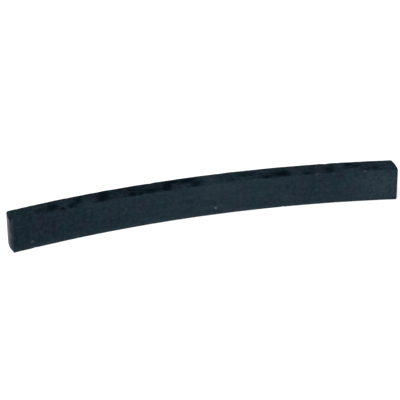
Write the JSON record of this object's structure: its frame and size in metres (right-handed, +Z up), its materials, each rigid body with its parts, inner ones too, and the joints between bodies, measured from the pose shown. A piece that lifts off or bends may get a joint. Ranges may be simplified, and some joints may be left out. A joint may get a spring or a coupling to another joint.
{
  "type": "racket string vibration dampener",
  "caption": "Bowed strip of solid dark rubber with a rectangular section, a soft vibration dampener laid across a racket's strings.",
  "frame": {"origin": "middle of the strip's own box, on the lower narrow edge that it stands on", "axes": "+X along the chord of the bow, +Y towards the bulging wall, +Z up from the lower narrow edge to the upper one"},
  "size_m": [0.1004, 0.0117, 0.0086],
  "materials": {
    "strip_rubber": "matte near-black rubber with a slate tint, soft satin sheen at a grazing angle"
  },
  "bodies": {
    "root": {"dampener_strip": "strip_rubber"}
  },
  "joints": []
}
